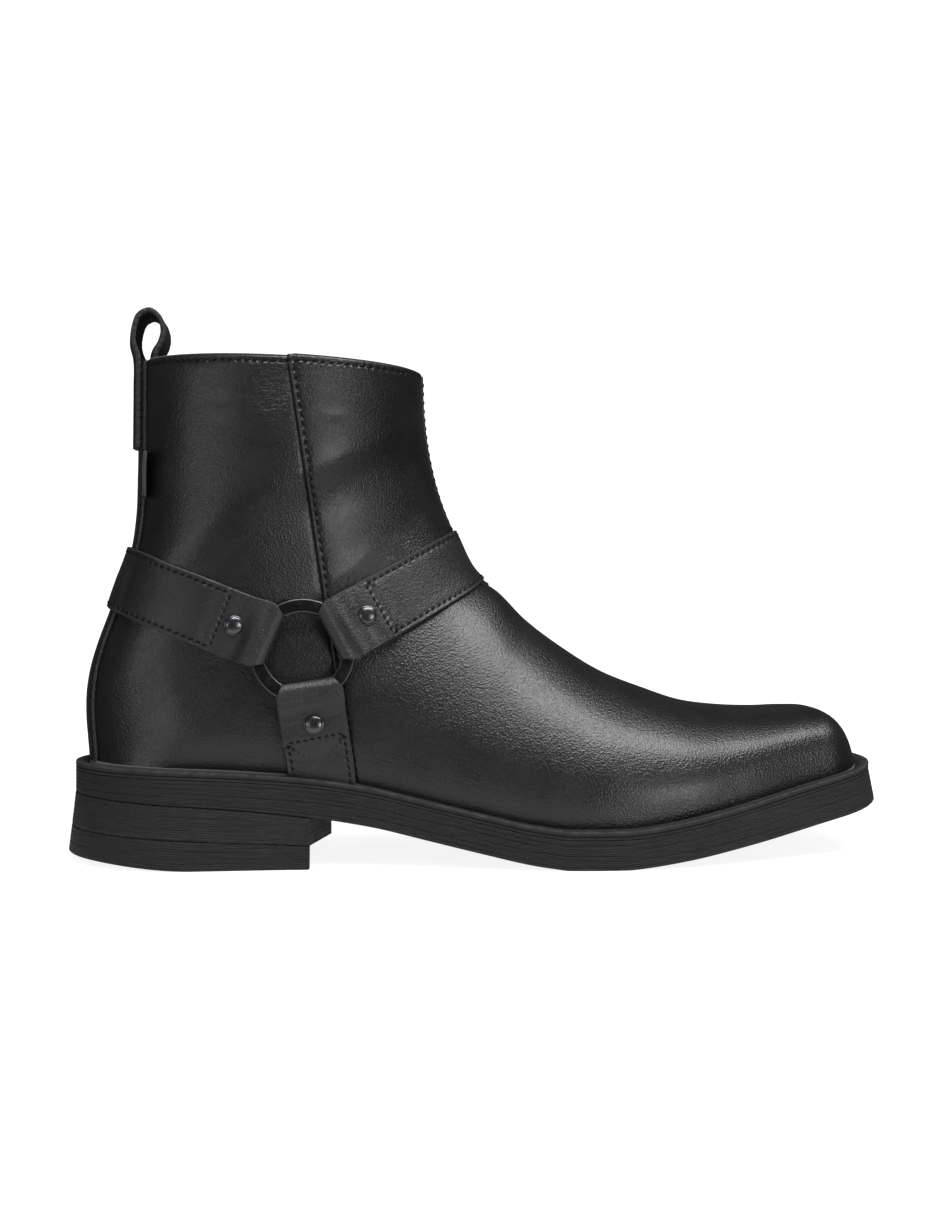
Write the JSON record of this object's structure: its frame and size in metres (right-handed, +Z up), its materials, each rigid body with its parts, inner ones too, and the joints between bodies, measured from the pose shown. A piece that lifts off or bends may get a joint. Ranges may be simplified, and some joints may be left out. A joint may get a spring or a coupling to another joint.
{
  "type": "harness boot",
  "caption": "Square-toed leather ankle boot for the right foot, with a strap-and-ring harness, a pull loop at the back and a block heel on a welted sole",
  "frame": {"origin": "on the ground, under the middle of the sole's bounding box", "axes": "+X towards the toe, +Y towards the inner (medial) side, +Z up"},
  "size_m": [0.3058, 0.1074, 0.2026],
  "materials": {
    "upper_leather": "smooth black leather with a soft sheen",
    "strap_leather": "grained black leather, less glossy",
    "black_metal": "black plated ring and rivets",
    "sole_rubber": "matte black with fine lines along the edge",
    "welt_rubber": "dull black welt",
    "insole_cover": "dull dark lining leather"
  },
  "bodies": {
    "root": {"upper": "upper_leather", "backstay": "upper_leather", "strap_back": "strap_leather", "strap_front": "strap_leather", "strap_low_lateral": "strap_leather", "strap_low_medial": "strap_leather", "pull_loop": "strap_leather", "side_tab": "strap_leather", "ring_lateral": "black_metal", "ring_medial": "black_metal", "rivet_back_lateral": "black_metal", "rivet_back_medial": "black_metal", "rivet_front_lateral": "black_metal", "rivet_front_medial": "black_metal", "rivet_low_lateral": "black_metal", "rivet_low_medial": "black_metal", "outsole": "sole_rubber", "heel_block": "sole_rubber", "heel_lift": "sole_rubber", "welt": "welt_rubber", "insole": "insole_cover"}
  },
  "joints": []
}
